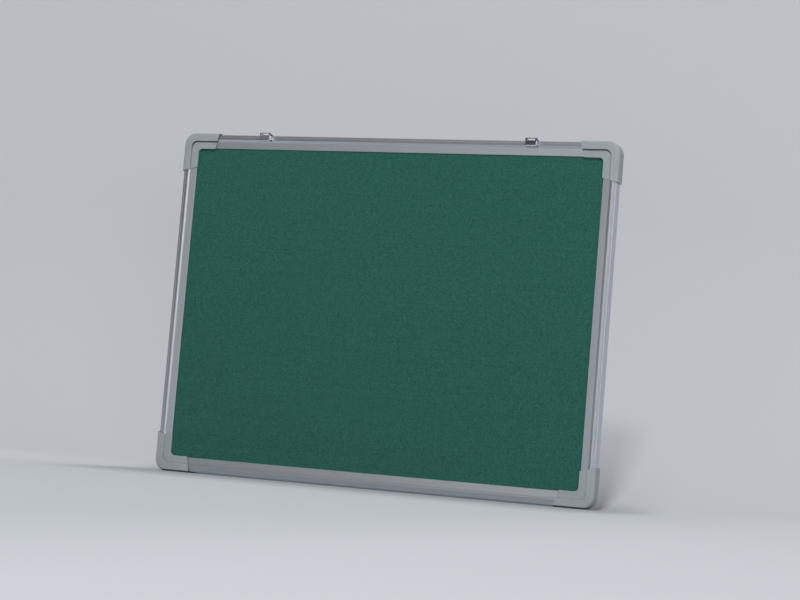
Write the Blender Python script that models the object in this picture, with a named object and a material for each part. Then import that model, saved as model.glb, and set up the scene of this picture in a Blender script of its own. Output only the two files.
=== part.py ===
"""A small framed pin board: fabric face, aluminium rails, plastic corner caps and two sliding hanging clips.

Metres, +Z up. The face looks along -Y. The origin is under the middle of the board, at the foot of the caps.
"""

import math

import bmesh
import bpy
from mathutils import Matrix, Vector

MM = 0.001

# Frame, measured across the outer faces of the rails
FRAME_WIDTH = 600 * MM
FRAME_HEIGHT = 450 * MM
FIT_GAP = 0.3 * MM

# Depths are measured forwards from the back face of the rails
RAIL_WIDTH = 18.5 * MM
RAIL_WALL = 1.2 * MM
RAIL_END_INSET = 20 * MM
BAND_WIDTH = 8.1 * MM
SLOPE_TOP = 6.9 * MM
SLOPE_FOOT = 8.9 * MM
LIP_FRONT = 14.9 * MM
BAND_FRONT = 16.4 * MM
BAND_FALL = 0.9 * MM
BAND_ROUNDING = 1.6 * MM
LIP_ROUNDING = 0.5 * MM
GROOVE_PLACE = 3.2 * MM
GROOVE_WIDTH = 0.8 * MM
GROOVE_DEPTH = 0.2 * MM
BACK_FLANGE_WIDTH = 14 * MM
BACK_CHAMFER = 0.5 * MM

# Panel stack inside the rails' channel
PANEL_EDGE = BAND_WIDTH + 0.4 * MM
PANEL_CORNER_RADIUS = 10 * MM
BACK_SHEET_THICKNESS = 2.4 * MM
FABRIC_THICKNESS = 0.8 * MM

# Corner caps, which sleeve over the rail ends
CAP_SIDE_WALL = 1.2 * MM
CAP_FRONT_WALL = 1 * MM
CAP_BAND_RISE = 2 * MM
CAP_BACK_WALL = 1.6 * MM
CAP_RIM_WALL = 0.7 * MM
CAP_OUTER_RADIUS = 16 * MM
CAP_STEP_RADIUS = 8 * MM
CAP_INNER_RADIUS = 5.5 * MM
CAP_OUTER_LEG = 50 * MM
CAP_INNER_LEG = 44.2 * MM
CAP_FRONT_ROUNDING = 3 * MM
CAP_BACK_ROUNDING = 1 * MM
CAP_EDGE_ROUNDING = 0.6 * MM
CAP_BACK_FLANGE = 15 * MM

# Corner keys inside the rails' chambers
KEY_LEG = 42 * MM

# Countersunk screws through cap, rail and key
SCREW_ALONG_LEG = 33 * MM
SCREW_HEAD_RADIUS = 2.6 * MM
SCREW_SHANK_RADIUS = 1.25 * MM
SCREW_HEAD_SINK = 0.2 * MM
SCREW_CONE_HEIGHT = 1.3 * MM
SCREW_TIP_START = 10 * MM
SCREW_TIP = 11.5 * MM
SCREW_CLEARANCE = 0.35 * MM

# Hanging clips, bent from one strip
CLIP_WIDTH = 15 * MM
LEFT_CLIP_PLACE = -181.3 * MM
RIGHT_CLIP_PLACE = 187 * MM
CLIP_SHEET = 0.8 * MM
CLIP_RISE = 2.9 * MM
CLIP_STAND_OFF = 5.4 * MM
CLIP_HOOK_DROP = 7.4 * MM
CLIP_TOE = 2.2 * MM
CLIP_BAR_DEPTH = 2.2 * MM
CLIP_STRAP_START = 14.5 * MM
CLIP_BACK_LEG = 12 * MM
CLIP_FLANGE_DROP = 6.2 * MM
CLIP_FLANGE_INSET = 0.1 * MM
CLIP_OPENING_WIDTH = 11 * MM
CLIP_WINDOW_DROP = 1.2 * MM
CLIP_BEND_RADIUS = 1 * MM

ARC_STEPS = 16
EDGE_STEPS = 6
SMALL_EDGE_STEPS = 3
TURN_STEPS = 24

# Values that follow from the ones above
CAP_PROUD = CAP_SIDE_WALL + FIT_GAP
CAP_LIP_FRONT = LIP_FRONT + FIT_GAP + CAP_FRONT_WALL
CAP_BAND_FRONT = CAP_LIP_FRONT + CAP_BAND_RISE
CAP_BACK = -FIT_GAP - CAP_BACK_WALL
CAP_STEP = BAND_WIDTH + FIT_GAP + CAP_FRONT_WALL
CAP_RIM = RAIL_WIDTH + FIT_GAP + CAP_RIM_WALL
CHAMBER_FRONT = BAND_FRONT - BAND_FALL - RAIL_WALL
CHANNEL_BACK = RAIL_WALL + FIT_GAP
CHANNEL_FRONT = LIP_FRONT - RAIL_WALL - FIT_GAP
FABRIC_BACK = CHANNEL_FRONT - FABRIC_THICKNESS
CLIP_FRONT = BAND_FRONT + CLIP_STAND_OFF + CLIP_SHEET
FRAME_BOTTOM = CAP_PROUD
FRAME_TOP = FRAME_BOTTOM + FRAME_HEIGHT
FRAME_MIDDLE = FRAME_BOTTOM + FRAME_HEIGHT / 2
MID_DEPTH = (CLIP_FRONT + CAP_BACK) / 2

QUARTER = math.pi / 2
CORNERS = {
    "top_left": (-FRAME_WIDTH / 2, FRAME_TOP, 0),
    "top_right": (FRAME_WIDTH / 2, FRAME_TOP, QUARTER),
    "bottom_right": (FRAME_WIDTH / 2, FRAME_BOTTOM, 2 * QUARTER),
    "bottom_left": (-FRAME_WIDTH / 2, FRAME_BOTTOM, 3 * QUARTER),
}
# Each rail: middle of its outer face, turn about Y, length, and the corners at its two ends
RAILS = {
    "top": (0, FRAME_TOP, 0, FRAME_WIDTH, ("top_left", "top_right")),
    "right": (FRAME_WIDTH / 2, FRAME_MIDDLE, QUARTER, FRAME_HEIGHT, ("top_right", "bottom_right")),
    "bottom": (0, FRAME_BOTTOM, 2 * QUARTER, FRAME_WIDTH, ("bottom_right", "bottom_left")),
    "left": (-FRAME_WIDTH / 2, FRAME_MIDDLE, 3 * QUARTER, FRAME_HEIGHT, ("bottom_left", "top_left")),
}


def at_depth(depth):
    """Y of a depth measured forwards from the back of the rails."""
    return MID_DEPTH - depth


def clear_scene():
    for old in list(bpy.data.objects):
        bpy.data.objects.remove(old, do_unlink=True)


def make_material(name, colour, roughness, metallic):
    material = bpy.data.materials.new(name)
    material.use_nodes = True
    shader = material.node_tree.nodes["Principled BSDF"]
    shader.inputs["Base Color"].default_value = (*colour, 1)
    shader.inputs["Roughness"].default_value = roughness
    shader.inputs["Metallic"].default_value = metallic
    material.diffuse_color = (*colour, 1)
    return material


def make_object(name, bm, material, location=(0, 0, 0), turn=0.0):
    """One named object from a bmesh, turned about Y and placed."""
    bmesh.ops.recalc_face_normals(bm, faces=bm.faces)
    mesh = bpy.data.meshes.new(name)
    bm.to_mesh(mesh)
    bm.free()
    mesh.shade_smooth()
    mesh.set_sharp_from_angle(angle=math.radians(35))
    made = bpy.data.objects.new(name, mesh)
    made.location = location
    made.rotation_euler = (0, turn, 0)
    made.parent = board
    made.data.materials.append(material)
    bpy.context.scene.collection.objects.link(made)
    return made


def as_cutter(cutter):
    cutter.hide_render = True
    cutter.display_type = "WIRE"
    return cutter


def add_boolean(target, tool, operation):
    modifier = target.modifiers.new(f"{operation.lower()} {tool.name}", "BOOLEAN")
    modifier.operation = operation
    modifier.object = tool
    modifier.solver = "EXACT"


def arc(centre, radius, start_degrees, end_degrees, steps=EDGE_STEPS):
    """Points of a round edge, ends included."""
    span = end_degrees - start_degrees
    angles = [math.radians(start_degrees + span * i / steps) for i in range(steps + 1)]
    return [(centre[0] + radius * math.cos(a), centre[1] + radius * math.sin(a)) for a in angles]


def band_depth(inset):
    """Depth of the raised band, which falls a little towards the outer face."""
    return BAND_FRONT - BAND_FALL * (1 - inset / SLOPE_TOP)


def rail_outline():
    """Closed section of a rail as (distance in from the outer face, depth)."""
    groove_inner = GROOVE_PLACE + GROOVE_WIDTH / 2
    groove_outer = GROOVE_PLACE - GROOVE_WIDTH / 2
    groove_floor = band_depth(GROOVE_PLACE) - GROOVE_DEPTH
    groove = [
        (groove_inner, band_depth(groove_inner)),
        (GROOVE_PLACE + GROOVE_WIDTH / 4, groove_floor),
        (GROOVE_PLACE - GROOVE_WIDTH / 4, groove_floor),
        (groove_outer, band_depth(groove_outer)),
    ]
    fall = math.degrees(math.atan2(BAND_FALL, SLOPE_TOP))
    round_start = BAND_ROUNDING * (1 - math.sin(math.radians(fall)))
    round_centre = band_depth(round_start) - BAND_ROUNDING * math.cos(math.radians(fall))
    return [
        (RAIL_WIDTH, LIP_FRONT - RAIL_WALL),
        *arc((RAIL_WIDTH - LIP_ROUNDING, LIP_FRONT - LIP_ROUNDING), LIP_ROUNDING, 0, 90, SMALL_EDGE_STEPS),
        (SLOPE_FOOT, LIP_FRONT),
        (SLOPE_TOP, BAND_FRONT),
        *groove,
        *arc((BAND_ROUNDING, round_centre), BAND_ROUNDING, 90 + fall, 180),
        (0, BACK_CHAMFER),
        (BACK_CHAMFER, 0),
        (BACK_FLANGE_WIDTH, 0),
        (BACK_FLANGE_WIDTH, RAIL_WALL),
        (BAND_WIDTH, RAIL_WALL),
        (BAND_WIDTH, LIP_FRONT - RAIL_WALL),
    ]


def box_outline(low_in, high_in, low_depth, high_depth):
    return [(low_in, low_depth), (high_in, low_depth), (high_in, high_depth), (low_in, high_depth)]


def chamber_outline():
    return box_outline(RAIL_WALL, BAND_WIDTH - RAIL_WALL, RAIL_WALL, CHAMBER_FRONT)


def key_outline():
    near = RAIL_WALL + FIT_GAP
    return box_outline(near, BAND_WIDTH - near, near, CHAMBER_FRONT - FIT_GAP)


def cap_outline():
    """Closed section of a corner cap: a C that wraps the rail, with a rim down to the fabric."""
    round_rim = (CAP_RIM - CAP_EDGE_ROUNDING, CAP_LIP_FRONT - CAP_EDGE_ROUNDING)
    round_step = (CAP_STEP - CAP_EDGE_ROUNDING, CAP_BAND_FRONT - CAP_EDGE_ROUNDING)
    round_front = (CAP_FRONT_ROUNDING - CAP_PROUD, CAP_BAND_FRONT - CAP_FRONT_ROUNDING)
    round_back = (CAP_BACK_ROUNDING - CAP_PROUD, CAP_BACK + CAP_BACK_ROUNDING)
    outside = [
        (CAP_RIM, CHANNEL_FRONT + FIT_GAP),
        *arc(round_rim, CAP_EDGE_ROUNDING, 0, 90, SMALL_EDGE_STEPS),
        (CAP_STEP, CAP_LIP_FRONT),
        *arc(round_step, CAP_EDGE_ROUNDING, 0, 90, SMALL_EDGE_STEPS),
        *arc(round_front, CAP_FRONT_ROUNDING, 90, 180),
        *arc(round_back, CAP_BACK_ROUNDING, 180, 270, SMALL_EDGE_STEPS),
        (CAP_BACK_FLANGE, CAP_BACK),
    ]
    inside = [
        (CAP_BACK_FLANGE, -FIT_GAP),
        (-FIT_GAP, -FIT_GAP),
        (-FIT_GAP, BAND_FRONT + FIT_GAP),
        (SLOPE_TOP + FIT_GAP, BAND_FRONT + FIT_GAP),
        (SLOPE_FOOT + FIT_GAP, LIP_FRONT + FIT_GAP),
        (RAIL_WIDTH + FIT_GAP, LIP_FRONT + FIT_GAP),
        (RAIL_WIDTH + FIT_GAP, CHANNEL_FRONT + FIT_GAP),
    ]
    return outside + inside


def between(value, low, high, at_low, at_high):
    return at_low + (at_high - at_low) * (value - low) / (high - low)


def corner_radius(inset):
    """Radius of the line that runs round the corner at this distance in from the rails' outer faces."""
    if inset < CAP_STEP:
        return between(inset, -CAP_PROUD, CAP_STEP, CAP_OUTER_RADIUS, CAP_STEP_RADIUS)
    return between(inset, CAP_STEP, CAP_RIM, CAP_STEP_RADIUS, CAP_INNER_RADIUS)


def cap_leg(inset):
    """Length of a cap's leg, whose end slants."""
    return between(inset, -CAP_PROUD, CAP_RIM, CAP_OUTER_LEG, CAP_INNER_LEG)


def key_leg(_inset):
    return KEY_LEG


def corner_path(inset, leg):
    """Points round the corner from the end of one leg to the end of the other, from the outer corner."""
    radius = corner_radius(inset)
    centre = inset + radius
    turns = [QUARTER * i / ARC_STEPS for i in range(ARC_STEPS + 1)]
    bend = [(centre - radius * math.sin(t), centre - radius * math.cos(t)) for t in turns]
    return [(leg(inset), inset), *bend, (inset, leg(inset))]


def swept_corner(outline, leg):
    """A section carried round a corner whose legs run along +X and -Z."""
    bm = bmesh.new()
    rings = []
    for inset, depth in outline:
        path = corner_path(inset, leg)
        rings.append([bm.verts.new((a, at_depth(depth), -b)) for a, b in path])
    for here, following in zip(rings, rings[1:] + rings[:1]):
        for i in range(len(here) - 1):
            bm.faces.new((here[i], here[i + 1], following[i + 1], following[i]))
    for end in (0, -1):
        bm.faces.new([ring[end] for ring in rings])
    bm.normal_update()
    bmesh.ops.triangulate(bm, faces=[f for f in bm.faces if len(f.verts) > 4])
    return bm


def extruded_rail(length):
    """A rail along X with its outer face up: an open section with a hollow chamber."""
    bm = bmesh.new()
    edges = []
    for outline in (rail_outline(), chamber_outline()):
        loop = [bm.verts.new((-length / 2, at_depth(depth), -inset)) for inset, depth in outline]
        edges += [bm.edges.new(pair) for pair in zip(loop, loop[1:] + loop[:1])]
    bmesh.ops.triangle_fill(bm, use_beauty=True, use_dissolve=False, edges=edges)
    pushed = bmesh.ops.extrude_face_region(bm, geom=bm.faces[:], use_keep_orig=True)
    moved = [item for item in pushed["geom"] if isinstance(item, bmesh.types.BMVert)]
    bmesh.ops.translate(bm, verts=moved, vec=(length, 0, 0))
    return bm


def rounded_panel(back, front):
    """A flat sheet with round corners that fills the rails' channel."""
    half = Vector((FRAME_WIDTH / 2 - PANEL_EDGE, FRAME_HEIGHT / 2 - PANEL_EDGE))
    bm = bmesh.new()
    loop = []
    for quarter, (side, up) in enumerate(((1, 1), (-1, 1), (-1, -1), (1, -1))):
        centre = (side * (half.x - PANEL_CORNER_RADIUS), up * (half.y - PANEL_CORNER_RADIUS))
        points = arc(centre, PANEL_CORNER_RADIUS, 90 * quarter, 90 * quarter + 90)
        loop += [bm.verts.new((x, at_depth(back), FRAME_MIDDLE + z)) for x, z in points]
    sheet = bm.faces.new(loop)
    pushed = bmesh.ops.extrude_face_region(bm, geom=[sheet], use_keep_orig=True)
    moved = [item for item in pushed["geom"] if isinstance(item, bmesh.types.BMVert)]
    bmesh.ops.translate(bm, verts=moved, vec=(0, at_depth(front) - at_depth(back), 0))
    return bm


def turned(profile):
    """A solid turned about Y from (radius, depth) points that start and end on the axis."""
    bm = bmesh.new()
    points = [bm.verts.new((radius, at_depth(depth), 0)) for radius, depth in profile]
    edges = [bm.edges.new(pair) for pair in zip(points, points[1:])]
    bmesh.ops.spin(
        bm,
        geom=points + edges,
        cent=(0, 0, 0),
        axis=(0, 1, 0),
        angle=2 * math.pi,
        steps=TURN_STEPS,
        use_merge=True,
    )
    bmesh.ops.remove_doubles(bm, verts=bm.verts, dist=0.01 * MM)
    return bm


def screw_profile():
    head = CAP_BACK + SCREW_HEAD_SINK
    return [
        (0, head),
        (SCREW_HEAD_RADIUS, head),
        (SCREW_SHANK_RADIUS, head + SCREW_CONE_HEIGHT),
        (SCREW_SHANK_RADIUS, SCREW_TIP_START),
        (0, SCREW_TIP),
    ]


def screw_hole_profile():
    head = CAP_BACK + SCREW_HEAD_SINK
    past_back = CAP_BACK - CAP_BACK_WALL
    wide = SCREW_HEAD_RADIUS + SCREW_CLEARANCE
    narrow = SCREW_SHANK_RADIUS + SCREW_CLEARANCE
    bottom = SCREW_TIP + FIT_GAP
    return [
        (0, past_back),
        (wide, past_back),
        (wide, head),
        (narrow, head + SCREW_CONE_HEIGHT),
        (narrow, bottom),
        (0, bottom),
    ]


def at_height(start, way, height):
    """Point of a sloping line at a height."""
    return start + way * ((height - start.x) / way.x)


def clip_outline():
    """Side section of a clip as (height above the rail's top, depth): toe, hook, front, bar, strap and back leg."""
    hook_top = -CLIP_HOOK_DROP
    hook_bottom = hook_top - CLIP_SHEET
    bar_bottom = CLIP_RISE - CLIP_SHEET
    bar_back = CLIP_FRONT - CLIP_BAR_DEPTH
    strap_top = FIT_GAP + CLIP_SHEET
    back = -FIT_GAP - CLIP_SHEET
    bend = CLIP_BEND_RADIUS
    down_slope = Vector((SLOPE_TOP - SLOPE_FOOT, LIP_FRONT - BAND_FRONT)).normalized()
    off_slope = Vector((down_slope.y, -down_slope.x))
    toe_near = Vector((-SLOPE_TOP, BAND_FRONT)) + off_slope * FIT_GAP
    toe_far = toe_near + off_slope * CLIP_SHEET
    return [
        at_height(toe_near, down_slope, hook_top),
        toe_near + down_slope * CLIP_TOE,
        toe_far + down_slope * CLIP_TOE,
        at_height(toe_far, down_slope, hook_bottom),
        *arc((hook_bottom + bend, CLIP_FRONT - bend), bend, 180, 90),
        *arc((CLIP_RISE - bend, CLIP_FRONT - bend), bend, 90, 0),
        (CLIP_RISE, bar_back),
        (strap_top, CLIP_STRAP_START),
        *arc((strap_top - bend, back + bend), bend, 0, -90),
        (-CLIP_BACK_LEG, back),
        (-CLIP_BACK_LEG, -FIT_GAP),
        (FIT_GAP, -FIT_GAP),
        (FIT_GAP, CLIP_STRAP_START),
        (bar_bottom, bar_back),
        (bar_bottom, CLIP_FRONT - CLIP_SHEET),
        (hook_top, CLIP_FRONT - CLIP_SHEET),
    ]


def bent_clip():
    bm = bmesh.new()
    outline = clip_outline()
    loop = [bm.verts.new((-CLIP_WIDTH / 2, at_depth(depth), height)) for height, depth in outline]
    edges = [bm.edges.new(pair) for pair in zip(loop, loop[1:] + loop[:1])]
    bmesh.ops.triangle_fill(bm, use_beauty=True, use_dissolve=False, edges=edges)
    pushed = bmesh.ops.extrude_face_region(bm, geom=bm.faces[:], use_keep_orig=True)
    moved = [item for item in pushed["geom"] if isinstance(item, bmesh.types.BMVert)]
    bmesh.ops.translate(bm, verts=moved, vec=(CLIP_WIDTH, 0, 0))
    return bm


def block(low, high):
    """A plain box between two corners, for joining or cutting."""
    bm = bmesh.new()
    size = Vector(high) - Vector(low)
    middle = (Vector(high) + Vector(low)) / 2
    bmesh.ops.create_cube(bm, size=1, matrix=Matrix.Translation(middle) @ Matrix.Diagonal((*size, 1)))
    return bm


def build_panel_stack():
    sheet_front = CHANNEL_BACK + BACK_SHEET_THICKNESS
    make_object("back_panel", rounded_panel(CHANNEL_BACK, sheet_front), hardboard)
    core = rounded_panel(sheet_front + FIT_GAP, FABRIC_BACK - FIT_GAP)
    make_object("core_board", core, soft_board)
    make_object("fabric_face", rounded_panel(FABRIC_BACK, CHANNEL_FRONT), fabric)


def build_corner(corner):
    """Cap, key and two screws of one corner, with the holes that the screws pass through."""
    x, z, turn = CORNERS[corner]
    place = (x, 0, z)
    cap = make_object(f"corner_cap_{corner}", swept_corner(cap_outline(), cap_leg), plastic, place, turn)
    key = make_object(f"corner_key_{corner}", swept_corner(key_outline(), key_leg), nylon, place, turn)
    holes = []
    for number, along_x in ((1, True), (2, False)):
        spot = (SCREW_ALONG_LEG, BAND_WIDTH / 2) if along_x else (BAND_WIDTH / 2, SCREW_ALONG_LEG)
        offset = Matrix.Rotation(turn, 3, "Y") @ Vector((spot[0], 0, -spot[1]))
        at = Vector(place) + offset
        make_object(f"screw_{corner}_{number}", turned(screw_profile()), zinc, at, turn)
        hole = make_object(f"hole_{corner}_{number}", turned(screw_hole_profile()), zinc, at, turn)
        holes.append(as_cutter(hole))
        add_boolean(cap, hole, "DIFFERENCE")
        add_boolean(key, hole, "DIFFERENCE")
    return holes


def build_rail(side, holes):
    """A rail with one screw hole at each end."""
    x, z, turn, length, ends = RAILS[side]
    bm = extruded_rail(length - 2 * RAIL_END_INSET)
    rail = make_object(f"{side}_rail", bm, aluminium, (x, 0, z), turn)
    first, last = ends
    add_boolean(rail, holes[first][0], "DIFFERENCE")
    add_boolean(rail, holes[last][1], "DIFFERENCE")


def build_clip(side, x):
    """A clip whose origin is on its slide line along the top of the rail."""
    place = (x, 0, FRAME_TOP)
    clip = make_object(f"{side}_clip", bent_clip(), steel, place)
    reach = CLIP_WIDTH / 2 - CLIP_FLANGE_INSET
    edge = reach - CLIP_SHEET
    front = at_depth(CLIP_FRONT - CLIP_SHEET / 2)
    rear = at_depth(BAND_FRONT + FIT_GAP)
    for end, (near, far) in (("left", (-reach, -edge)), ("right", (edge, reach))):
        low, high = (near, front, -CLIP_FLANGE_DROP), (far, rear, -CLIP_WINDOW_DROP)
        flange = make_object(f"{side}_clip_{end}_flange", block(low, high), steel, place)
        add_boolean(clip, as_cutter(flange), "UNION")
    half = CLIP_OPENING_WIDTH / 2
    past_front = at_depth(CLIP_FRONT + CLIP_SHEET)
    behind_front = at_depth(CLIP_FRONT - 1.5 * CLIP_SHEET)
    bar_back = at_depth(CLIP_FRONT - CLIP_BAR_DEPTH)
    strap_start = at_depth(CLIP_STRAP_START + FIT_GAP)
    window_top = CLIP_RISE - 1.2 * CLIP_SHEET
    openings = {
        "window": ((-half, past_front, -CLIP_WINDOW_DROP), (half, behind_front, window_top)),
        "top_opening": ((-half, bar_back, 0), (half, strap_start, CLIP_RISE + CLIP_SHEET)),
    }
    for opening, (low_corner, high_corner) in openings.items():
        cutter = make_object(f"{side}_clip_{opening}", block(low_corner, high_corner), steel, place)
        add_boolean(clip, as_cutter(cutter), "DIFFERENCE")


clear_scene()
board = bpy.data.objects.new("board", None)
bpy.context.scene.collection.objects.link(board)

fabric = make_material("green_fabric", (0.025, 0.096, 0.078), 0.95, 0)
soft_board = make_material("soft_board", (0.36, 0.25, 0.15), 0.95, 0)
hardboard = make_material("hardboard", (0.28, 0.17, 0.09), 0.7, 0)
aluminium = make_material("satin_aluminium", (0.62, 0.63, 0.66), 0.35, 1)
plastic = make_material("grey_plastic", (0.27, 0.29, 0.33), 0.5, 0)
nylon = make_material("dark_nylon", (0.03, 0.03, 0.03), 0.6, 0)
zinc = make_material("zinc_steel", (0.6, 0.6, 0.58), 0.3, 1)
steel = make_material("bright_steel", (0.66, 0.67, 0.69), 0.15, 1)

build_panel_stack()
screw_holes = {corner: build_corner(corner) for corner in CORNERS}
for rail_side in RAILS:
    build_rail(rail_side, screw_holes)
build_clip("left", LEFT_CLIP_PLACE)
build_clip("right", RIGHT_CLIP_PLACE)
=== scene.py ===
import math

import bmesh
import bpy
from mathutils import Matrix, Vector, noise


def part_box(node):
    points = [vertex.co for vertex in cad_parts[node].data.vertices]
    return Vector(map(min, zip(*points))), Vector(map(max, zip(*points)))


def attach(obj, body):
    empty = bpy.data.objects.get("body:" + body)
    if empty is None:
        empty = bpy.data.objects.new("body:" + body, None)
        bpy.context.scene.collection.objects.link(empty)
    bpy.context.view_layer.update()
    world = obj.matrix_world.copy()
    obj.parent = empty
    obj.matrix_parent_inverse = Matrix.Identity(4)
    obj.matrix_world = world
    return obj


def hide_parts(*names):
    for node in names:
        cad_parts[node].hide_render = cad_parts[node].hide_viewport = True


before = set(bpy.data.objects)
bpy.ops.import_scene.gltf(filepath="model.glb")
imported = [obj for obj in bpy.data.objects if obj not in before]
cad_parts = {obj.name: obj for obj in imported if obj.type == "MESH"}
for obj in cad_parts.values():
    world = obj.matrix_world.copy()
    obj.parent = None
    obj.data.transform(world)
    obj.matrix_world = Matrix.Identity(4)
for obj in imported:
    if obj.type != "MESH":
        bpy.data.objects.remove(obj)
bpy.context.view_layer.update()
mm = 0.001
tiny = 0.001 * mm  # two places nearer than this are one
scene = bpy.context.scene
scene.view_settings.view_transform = "Standard"
print("frame loaded:", len(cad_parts), "nodes")

# depths are counted forwards from the back of the rails, as on a section drawing
boardSpec = {
    "width": 600 * mm,
    "height": 450 * mm,
    "foot": 1.5 * mm,
    "midDepth": 10.35 * mm,
    "lipFront": 14.9 * mm,
}
boardTop = boardSpec["foot"] + boardSpec["height"]
boardMiddle = boardSpec["foot"] + boardSpec["height"] / 2


def atDepth(depth):
    return boardSpec["midDepth"] - depth


# node helpers

def newGroup(name, inputs, outputs):
    group = bpy.data.node_groups.new(name, "ShaderNodeTree")
    for label, kind, value in inputs:
        socket = group.interface.new_socket(name=label, in_out="INPUT", socket_type=kind)
        socket.default_value = value
    for label in outputs:
        group.interface.new_socket(name=label, in_out="OUTPUT", socket_type="NodeSocketFloat")
    start = group.nodes.new("NodeGroupInput")
    end = group.nodes.new("NodeGroupOutput")
    return group, start.outputs, end.inputs


def node(tree, kind, inputs=None, **settings):
    made = tree.nodes.new(kind)
    for key, value in settings.items():
        setattr(made, key, value)
    for key, value in (inputs or {}).items():
        if isinstance(value, bpy.types.NodeSocket):
            tree.links.new(value, made.inputs[key])
        else:
            made.inputs[key].default_value = value
    return made


def useGroup(tree, group, values):
    return node(tree, "ShaderNodeGroup", values, node_tree=group).outputs


def maths(tree, operation, first, second=0.0, third=0.0, clamp=False):
    values = {0: first, 1: second, 2: third}
    return node(tree, "ShaderNodeMath", values, operation=operation, use_clamp=clamp).outputs[0]


def vectorMaths(tree, operation, *vectors):
    return node(tree, "ShaderNodeVectorMath", dict(enumerate(vectors)), operation=operation).outputs


def remap(tree, value, low, high, toLow, toHigh, kind="SMOOTHSTEP"):
    values = {"Value": value, "From Min": low, "From Max": high, "To Min": toLow, "To Max": toHigh}
    return node(tree, "ShaderNodeMapRange", values, interpolation_type=kind).outputs[0]


def solidColour(value):
    return value if isinstance(value, bpy.types.NodeSocket) else (*value, 1)


# a mix node has its numbers on sockets 2 and 3 and its colours on 6 and 7
def mixValue(tree, factor, first, second):
    return node(tree, "ShaderNodeMix", {"Factor": factor, 2: first, 3: second}).outputs[0]


def mixColour(tree, factor, first, second):
    values = {"Factor": factor, 6: solidColour(first), 7: solidColour(second)}
    return node(tree, "ShaderNodeMix", values, data_type="RGBA").outputs[2]


def objectPlace(tree):
    return node(tree, "ShaderNodeTexCoord").outputs["Object"]


def clouds(tree, place, scale, detail):
    return node(tree, "ShaderNodeTexNoise", {"Vector": place, "Scale": scale, "Detail": detail})


# shared effects

effectSpec = {
    "streakPull": (0.3, 0.22, 0.22),
    "dustOnFlats": (0.55, 0.98, 0.0, 1.0),
    "dustSpecks": (0.35, 0.7, 0.25, 1.0),
    "ridges": (0.51, 0.58, 0.0, 1.0),
    "ridgeBreaks": (0.4, 0.65, 0.15, 1.0),
}
weaveSpec = {
    "driftScale": 14.0,
    "driftMiddle": (0.5, 0.5, 0.5),
    "bow": (0.0016, 0.0, 0.0016),
    "slubSpread": 3.7,
    "warpSalt": 17.3,
    "weftSalt": 61.7,
    "gaps": (0.05, 0.45, 1.0, 0.0),
}


def makeFineGrain():
    inputs = [("Scale", "NodeSocketFloat", 2000.0), ("Patch Scale", "NodeSocketFloat", 40.0)]
    group, start, end = newGroup("fineGrain", inputs, ("Grain", "Patch"))
    place = objectPlace(group)
    group.links.new(clouds(group, place, start["Scale"], 2.0).outputs[0], end["Grain"])
    group.links.new(clouds(group, place, start["Patch Scale"], 3.0).outputs[0], end["Patch"])
    return group


def makeBrushLines():
    inputs = [("Stretch", "NodeSocketVector", (6.0, 2600.0, 2600.0))]
    group, start, end = newGroup("brushLines", inputs, ("Lines", "Streaks"))
    pulled = vectorMaths(group, "MULTIPLY", objectPlace(group), start["Stretch"])[0]
    coarse = vectorMaths(group, "MULTIPLY", pulled, effectSpec["streakPull"])[0]
    group.links.new(clouds(group, pulled, 1.0, 3.0).outputs[0], end["Lines"])
    group.links.new(clouds(group, coarse, 1.0, 2.0).outputs[0], end["Streaks"])
    return group


# a mask that is broken up by clouds and scaled by the group's Amount
def finishMask(group, start, end, mask, breaks, detail):
    patchy = remap(group, clouds(group, objectPlace(group), start["Scale"], detail).outputs[0], *breaks)
    broken = maths(group, "MULTIPLY", mask, patchy)
    group.links.new(maths(group, "MULTIPLY", broken, start["Amount"], clamp=True), end["Mask"])


def makeSettledDust():
    inputs = [("Amount", "NodeSocketFloat", 0.2), ("Scale", "NodeSocketFloat", 260.0)]
    group, start, end = newGroup("settledDust", inputs, ("Mask",))
    normal = node(group, "ShaderNodeNewGeometry").outputs["Normal"]
    upward = node(group, "ShaderNodeSeparateXYZ", {0: normal}).outputs[2]
    flat = remap(group, upward, *effectSpec["dustOnFlats"])
    finishMask(group, start, end, flat, effectSpec["dustSpecks"], 5.0)
    return group


def makeEdgeRub():
    inputs = [("Amount", "NodeSocketFloat", 0.3), ("Scale", "NodeSocketFloat", 180.0)]
    group, start, end = newGroup("edgeRub", inputs, ("Mask",))
    sharp = node(group, "ShaderNodeNewGeometry").outputs["Pointiness"]
    ridge = remap(group, sharp, *effectSpec["ridges"])
    finishMask(group, start, end, ridge, effectSpec["ridgeBreaks"], 4.0)
    return group


def threadRound(group, run):
    return maths(group, "SINE", maths(group, "MULTIPLY", maths(group, "FRACT", run), math.pi))


# a thread dips to half its height at the sides of the thread that it crosses
def threadTop(group, ownRound, otherRound):
    return maths(group, "MULTIPLY", ownRound, maths(group, "MULTIPLY_ADD", otherRound, 0.5, 0.5))


# each thread has its own stain and slubs along its length
def threadTone(group, thread, run, slubLength, salt):
    salted = maths(group, "ADD", thread, salt)
    stain = node(group, "ShaderNodeTexWhiteNoise", {"W": salted}, noise_dimensions="1D").outputs[0]
    spread = maths(group, "MULTIPLY", thread, weaveSpec["slubSpread"])
    length = maths(group, "DIVIDE", run, slubLength)
    spot = node(group, "ShaderNodeCombineXYZ", {0: spread, 1: length, 2: salt}).outputs[0]
    slub = clouds(group, spot, 1.0, 2.0).outputs[0]
    return maths(group, "MULTIPLY", maths(group, "ADD", stain, slub), 0.5)


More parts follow.
